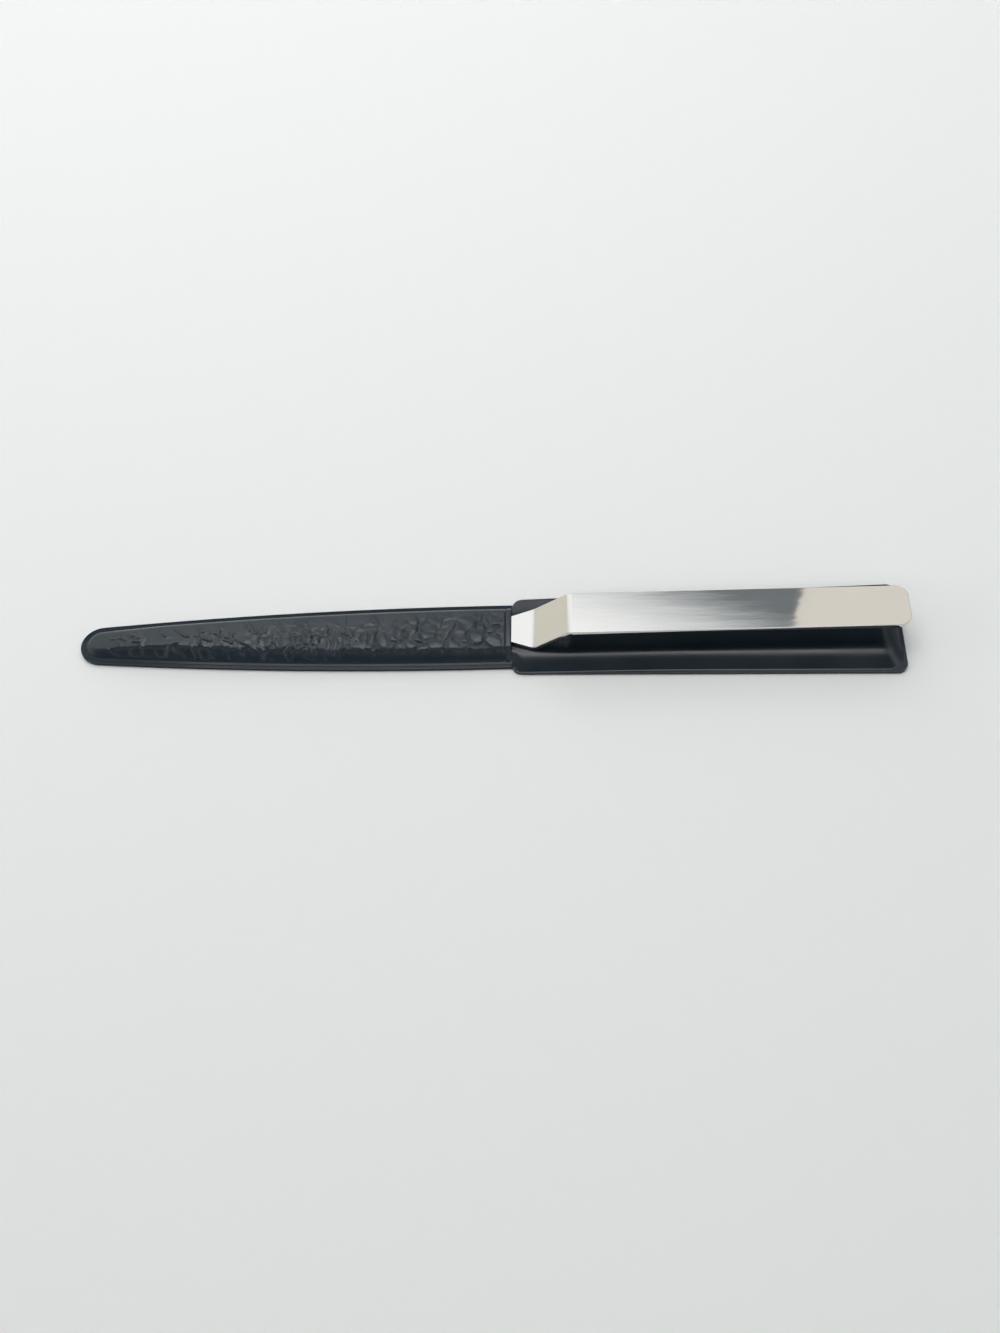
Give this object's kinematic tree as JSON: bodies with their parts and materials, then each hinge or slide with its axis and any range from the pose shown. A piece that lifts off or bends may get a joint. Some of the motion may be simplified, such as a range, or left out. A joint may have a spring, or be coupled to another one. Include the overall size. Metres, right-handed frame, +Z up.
{
  "type": "letter opener",
  "caption": "Slim steel letter opener with a raised flat handle, its blade seated in a grained black vinyl sheath that runs on into a padded rest under the handle.",
  "frame": {"origin": "centre of the underside of the holder, on the surface it lies on", "axes": "+X from the tip of the sheath to the end of the handle, +Y across the holder, +Z up"},
  "size_m": [0.2346, 0.03, 0.0115],
  "materials": {
    "polished_steel": "polished stainless steel with fine rolling lines",
    "grained_vinyl": "black leatherette with a crackle grain, satin",
    "smooth_vinyl": "smooth black vinyl, semi-gloss",
    "back_vinyl": "fine-grained black vinyl sheet, matt",
    "foam": "thin closed-cell foam",
    "fibreboard": "plain fibreboard",
    "plastic_strip": "stiff black plastic strip"
  },
  "bodies": {
    "holder": {"back_panel": "back_vinyl", "stiffener_board": "fibreboard", "foam_padding": "foam", "smooth_cover": "smooth_vinyl", "blade_welt": "plastic_strip", "sheath_front": "grained_vinyl", "mouth_binding": "grained_vinyl"},
    "opener": {"letter_opener": "polished_steel"}
  },
  "joints": [
    {"name": "opener_slide", "type": "slide", "parent": "holder", "child": "opener", "axis": [1, 0, 0], "range_m": [0, 0.102]}
  ]
}
